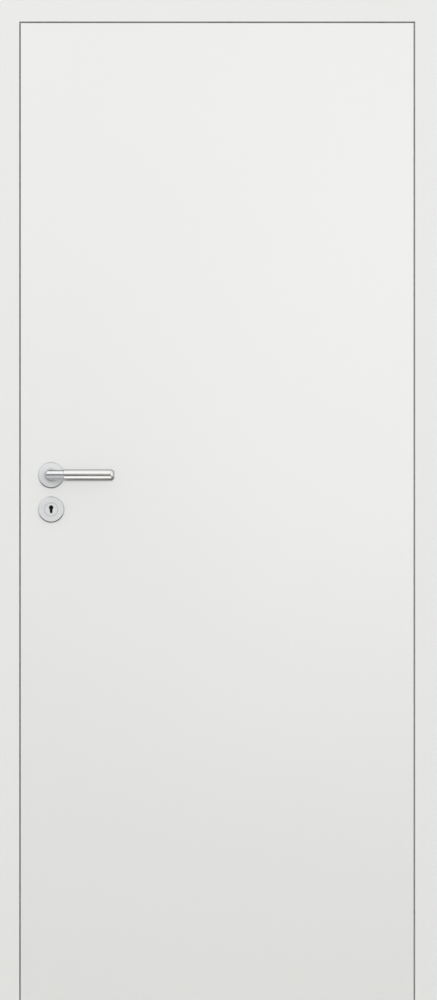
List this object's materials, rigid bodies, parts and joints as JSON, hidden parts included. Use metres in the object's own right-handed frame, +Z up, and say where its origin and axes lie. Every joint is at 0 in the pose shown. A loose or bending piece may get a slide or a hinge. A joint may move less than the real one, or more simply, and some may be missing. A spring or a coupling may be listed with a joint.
{
  "type": "flush interior door in its frame",
  "caption": "Plain white flush interior door hung in its frame on concealed hinges, with a lever handle on round rosettes and a keyhole below.",
  "frame": {"origin": "floor level on the outer face of the hinge jamb, halfway through the frame's depth", "axes": "+Z up, +X out of the hinge jamb into the wall, -Y towards the side that the leaf opens to"},
  "size_m": [0.926, 0.1573, 2.069],
  "materials": {
    "frame_lacquer": "white satin lacquer",
    "leaf_lacquer": "white satin lacquer",
    "core_board": "raw board",
    "seal_rubber": "matt",
    "satin_steel": "satin",
    "polished_steel": "polished",
    "cast_zinc": "matt cast"
  },
  "bodies": {
    "frame": {"hinge_jamb": "frame_lacquer", "latch_jamb": "frame_lacquer", "head": "frame_lacquer", "hinge_stop": "frame_lacquer", "latch_stop": "frame_lacquer", "head_stop": "frame_lacquer", "hinge_seal": "seal_rubber", "latch_seal": "seal_rubber", "head_seal": "seal_rubber", "strike_plate": "satin_steel", "upper_hinge_housing": "cast_zinc", "lower_hinge_housing": "cast_zinc", "upper_hinge_pin": "polished_steel", "lower_hinge_pin": "polished_steel"},
    "leaf": {"leaf_core": "core_board", "front_skin": "leaf_lacquer", "back_skin": "leaf_lacquer", "hinge_edge_lipping": "leaf_lacquer", "latch_edge_lipping": "leaf_lacquer", "top_edge_lipping": "leaf_lacquer", "bottom_edge_lipping": "leaf_lacquer", "lock_case": "cast_zinc", "lock_forend": "satin_steel", "latch_bolt": "polished_steel", "dead_bolt": "polished_steel", "front_handle_rosette": "satin_steel", "front_key_rosette": "satin_steel", "back_handle_rosette": "satin_steel", "back_key_rosette": "satin_steel", "upper_hinge_arm": "cast_zinc", "lower_hinge_arm": "cast_zinc"},
    "handle": {"front_lever_neck": "polished_steel", "front_lever_grip": "satin_steel", "back_lever_neck": "polished_steel", "back_lever_grip": "satin_steel", "spindle": "polished_steel"}
  },
  "joints": [
    {"name": "leaf_swing", "type": "hinge", "parent": "frame", "child": "leaf", "pos_m": [-0.0415, -0.039, 1.006], "axis": [0, 0, 1], "range_deg": [0, 110]},
    {"name": "handle_turn", "type": "hinge", "parent": "leaf", "child": "handle", "pos_m": [-0.801, -0.03, 1.0855], "axis": [0, 1, 0], "range_deg": [0, 40], "stiffness_Nm_per_rad": 1.5, "springref_deg": -28.65}
  ]
}
